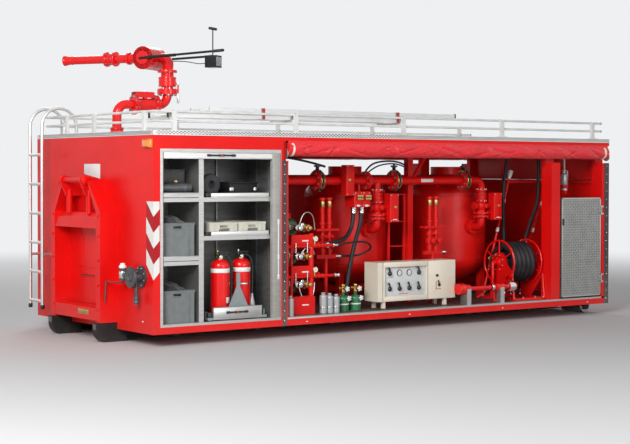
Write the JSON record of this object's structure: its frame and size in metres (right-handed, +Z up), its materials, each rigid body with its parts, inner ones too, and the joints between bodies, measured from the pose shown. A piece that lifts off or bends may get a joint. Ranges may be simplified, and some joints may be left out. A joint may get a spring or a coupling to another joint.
{
  "type": "fire-fighting container",
  "caption": "Hook-lift roll-off fire-fighting container with a dry-powder plant, side locker, hose reel and roof monitor",
  "frame": {"origin": "Centre of the footprint, on the ground that the runner shoes and rear rollers stand on", "axes": "+X to the hook end in front, +Y to the working side with the open bay, +Z up"},
  "size_m": [6.438, 2.55, 3.177],
  "materials": {
    "red_paint": "semi-gloss red paint",
    "red_gloss": "gloss red paint",
    "black_steel": "black paint",
    "steel": "bare steel",
    "aluminium": "mill aluminium",
    "silver_paint": "pale silver paint",
    "deck": "chequered aluminium edge and deck",
    "trim": "dark sealing strip",
    "grey_plastic": "grey crates",
    "pale_plastic": "pale crates",
    "black_plastic": "black",
    "green_paint": "green gas cylinders",
    "brass": "brass and dark cast valve bodies",
    "hose_rubber": "dark hose",
    "white_paint": "white cabinet",
    "grey_metal": "dark grey coupling",
    "amber": "amber lens",
    "red_fabric": "coated red tarpaulin"
  },
  "bodies": {
    "container": {"access_ladder": "aluminium", "actuator_boxes": "red_paint", "bay_frame": "red_paint", "body_walls": "red_paint", "collecting_pipes": "red_paint", "control_cabinet": "white_paint", "cover_strips": "trim", "cover_tubes": "aluminium", "cross_members": "black_steel", "cylinder_rack": "red_paint", "door_hinges": "steel", "floor": "red_paint", "front_coupling": "grey_metal", "front_lamp": "amber", "gas_cylinders": "green_paint", "grey_crates": "grey_plastic", "head_rails": "red_paint", "hook_bar": "red_paint", "hook_frame": "red_paint", "inner_walls": "red_paint", "locker_surrounds": "red_paint", "longitudinal_beams": "black_steel", "monitor_riser": "red_paint", "plant_hoses": "hose_rubber", "powder_gun": "red_paint", "powder_header": "red_paint", "powder_tanks": "red_paint", "railing_posts": "silver_paint", "railing_tubes": "silver_paint", "rear_rail_lances": "red_paint", "reel_frame": "red_paint", "regulators": "brass", "rolled_covers": "red_fabric", "roller_shutters": "aluminium", "roof": "red_paint", "roof_deck": "deck", "shelf_rack": "aluminium", "shutter_frames": "aluminium", "side_posts": "red_paint", "sill_edgings": "aluminium", "small_bottles": "silver_paint", "small_manifolds": "red_paint", "stored_ladders": "aluminium", "valve_stacks": "red_paint", "wafer_valves": "brass"},
    "left_roller": {"left_roller": "steel"},
    "right_roller": {"right_roller": "steel"},
    "drawer": {"extinguisher_drawer": "aluminium", "extinguishers": "red_gloss", "extinguisher_heads": "black_plastic"},
    "upper_tray": {"upper_tray": "aluminium"},
    "middle_tray": {"middle_tray": "aluminium", "pale_crates": "pale_plastic"},
    "reel": {"reel_drum": "red_paint", "reel_hose": "hose_rubber"},
    "door": {"equipment_door": "aluminium"},
    "monitor_head": {"monitor_swivel": "red_paint"},
    "monitor_gun": {"monitor_barrel": "red_paint", "monitor_tiller": "black_steel"}
  },
  "joints": [
    {"name": "left_roller_spin", "type": "hinge", "parent": "container", "child": "left_roller", "pos_m": [-3.0725, 0.83, 0.08], "axis": [0, 1, 0], "continuous": true},
    {"name": "right_roller_spin", "type": "hinge", "parent": "container", "child": "right_roller", "pos_m": [-3.0725, -0.83, 0.08], "axis": [0, 1, 0], "continuous": true},
    {"name": "extinguisher_drawer_slide", "type": "slide", "parent": "container", "child": "drawer", "axis": [0, 1, 0], "range_m": [0, 0.5]},
    {"name": "upper_tray_slide", "type": "slide", "parent": "container", "child": "upper_tray", "axis": [0, 1, 0], "range_m": [0, 0.5]},
    {"name": "middle_tray_slide", "type": "slide", "parent": "container", "child": "middle_tray", "axis": [0, 1, 0], "range_m": [0, 0.5]},
    {"name": "hose_reel_spin", "type": "hinge", "parent": "container", "child": "reel", "pos_m": [-2.0075, 0.88, 0.64], "axis": [1, 0, 0], "continuous": true},
    {"name": "equipment_door_hinge", "type": "hinge", "parent": "container", "child": "door", "pos_m": [-3.0775, 1.253, 0.8], "axis": [0, 0, 1], "range_deg": [0, 110]},
    {"name": "monitor_yaw", "type": "hinge", "parent": "container", "child": "monitor_head", "pos_m": [2.0985, 0, 2.5103], "axis": [0, 0, 1], "range_deg": [-60, 160]},
    {"name": "monitor_elevation", "type": "hinge", "parent": "monitor_head", "child": "monitor_gun", "pos_m": [2.2035, -0.18187, 2.86], "axis": [-0.866, -0.5, 0], "range_deg": [-15, 40]}
  ]
}
